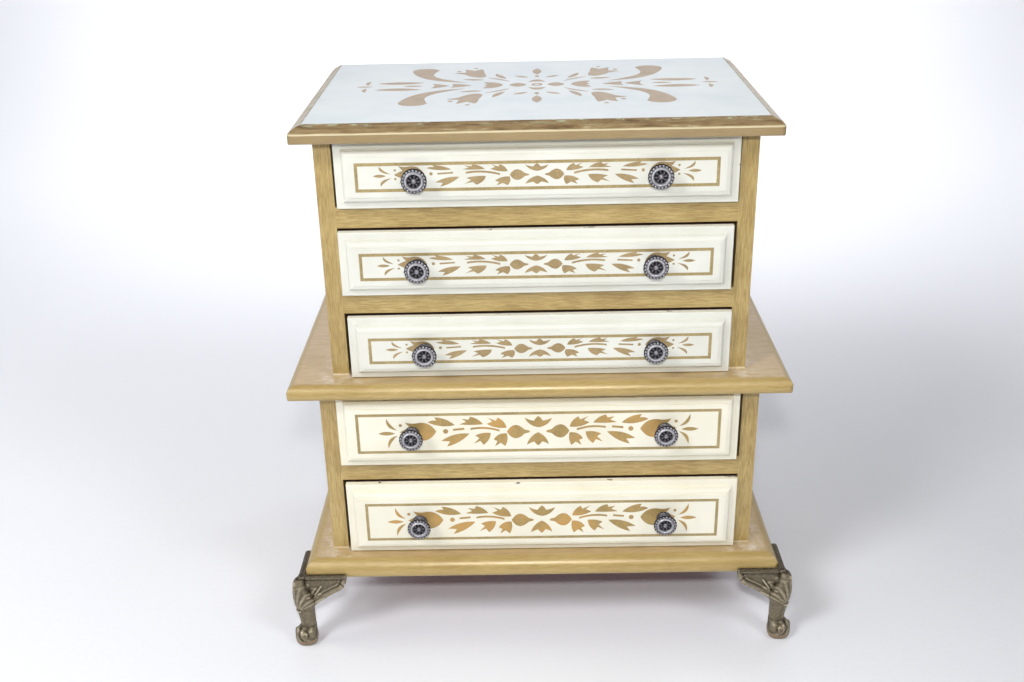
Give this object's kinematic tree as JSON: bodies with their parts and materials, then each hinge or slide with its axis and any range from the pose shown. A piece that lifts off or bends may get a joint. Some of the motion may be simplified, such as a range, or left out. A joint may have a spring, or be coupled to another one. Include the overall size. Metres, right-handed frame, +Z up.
{
  "type": "jewellery chest with drawers",
  "caption": "Tiered table-top jewellery chest with stencilled cream drawers, gilt moulded boards, rosette knobs and cast cabriole feet.",
  "frame": {"origin": "centre of the bounding box in plan, on the floor plane under the feet", "axes": "+Z up; the drawers face -Y and slide out along -Y; +X is to the right of someone facing the drawers"},
  "size_m": [0.3084, 0.187, 0.3259],
  "materials": {
    "painted_top": "cream paint with a gilt sloped edge, satin",
    "painted_front": "cream paint with gilt stencilling, satin",
    "gilt_wood": "brushed gold paint, satin",
    "stained_wood": "dark red-brown stain, matt",
    "bare_wood": "dark stained softwood, matt",
    "felt": "napped felt",
    "antique_silver": "antique silver plate over a casting",
    "cast_brass": "dark antique patina",
    "screw_steel": "zinc plated"
  },
  "bodies": {
    "carcass": {"top_board": "painted_top", "upper_side_left": "gilt_wood", "upper_side_right": "gilt_wood", "upper_back_panel": "stained_wood", "upper_rail_1": "gilt_wood", "upper_rail_2": "gilt_wood", "waist_board": "gilt_wood", "lower_side_left": "gilt_wood", "lower_side_right": "gilt_wood", "lower_back_panel": "stained_wood", "lower_rail": "gilt_wood", "base_board": "gilt_wood", "drawer_runners": "bare_wood", "foot_front_left": "cast_brass", "foot_front_right": "cast_brass", "foot_back_left": "cast_brass", "foot_back_right": "cast_brass", "foot_screws": "screw_steel"},
    "drawer_1": {"drawer_1_front": "painted_front", "drawer_1_side_left": "bare_wood", "drawer_1_side_right": "bare_wood", "drawer_1_back": "bare_wood", "drawer_1_bottom": "bare_wood", "drawer_1_lining": "felt", "drawer_1_knobs": "antique_silver", "drawer_1_screws": "screw_steel"},
    "drawer_2": {"drawer_2_front": "painted_front", "drawer_2_side_left": "bare_wood", "drawer_2_side_right": "bare_wood", "drawer_2_back": "bare_wood", "drawer_2_bottom": "bare_wood", "drawer_2_lining": "felt", "drawer_2_knobs": "antique_silver", "drawer_2_screws": "screw_steel"},
    "drawer_3": {"drawer_3_front": "painted_front", "drawer_3_side_left": "bare_wood", "drawer_3_side_right": "bare_wood", "drawer_3_back": "bare_wood", "drawer_3_bottom": "bare_wood", "drawer_3_lining": "felt", "drawer_3_knobs": "antique_silver", "drawer_3_screws": "screw_steel"},
    "drawer_4": {"drawer_4_front": "painted_front", "drawer_4_side_left": "bare_wood", "drawer_4_side_right": "bare_wood", "drawer_4_back": "bare_wood", "drawer_4_bottom": "bare_wood", "drawer_4_lining": "felt", "drawer_4_knobs": "antique_silver", "drawer_4_screws": "screw_steel"},
    "drawer_5": {"drawer_5_front": "painted_front", "drawer_5_side_left": "bare_wood", "drawer_5_side_right": "bare_wood", "drawer_5_back": "bare_wood", "drawer_5_bottom": "bare_wood", "drawer_5_lining": "felt", "drawer_5_knobs": "antique_silver", "drawer_5_screws": "screw_steel"}
  },
  "joints": [
    {"name": "drawer_1_slide", "type": "slide", "parent": "carcass", "child": "drawer_1", "axis": [0, -1, 0], "range_m": [0, 0.1]},
    {"name": "drawer_2_slide", "type": "slide", "parent": "carcass", "child": "drawer_2", "axis": [0, -1, 0], "range_m": [0, 0.1]},
    {"name": "drawer_3_slide", "type": "slide", "parent": "carcass", "child": "drawer_3", "axis": [0, -1, 0], "range_m": [0, 0.1]},
    {"name": "drawer_4_slide", "type": "slide", "parent": "carcass", "child": "drawer_4", "axis": [0, -1, 0], "range_m": [0, 0.1]},
    {"name": "drawer_5_slide", "type": "slide", "parent": "carcass", "child": "drawer_5", "axis": [0, -1, 0], "range_m": [0, 0.1]}
  ]
}
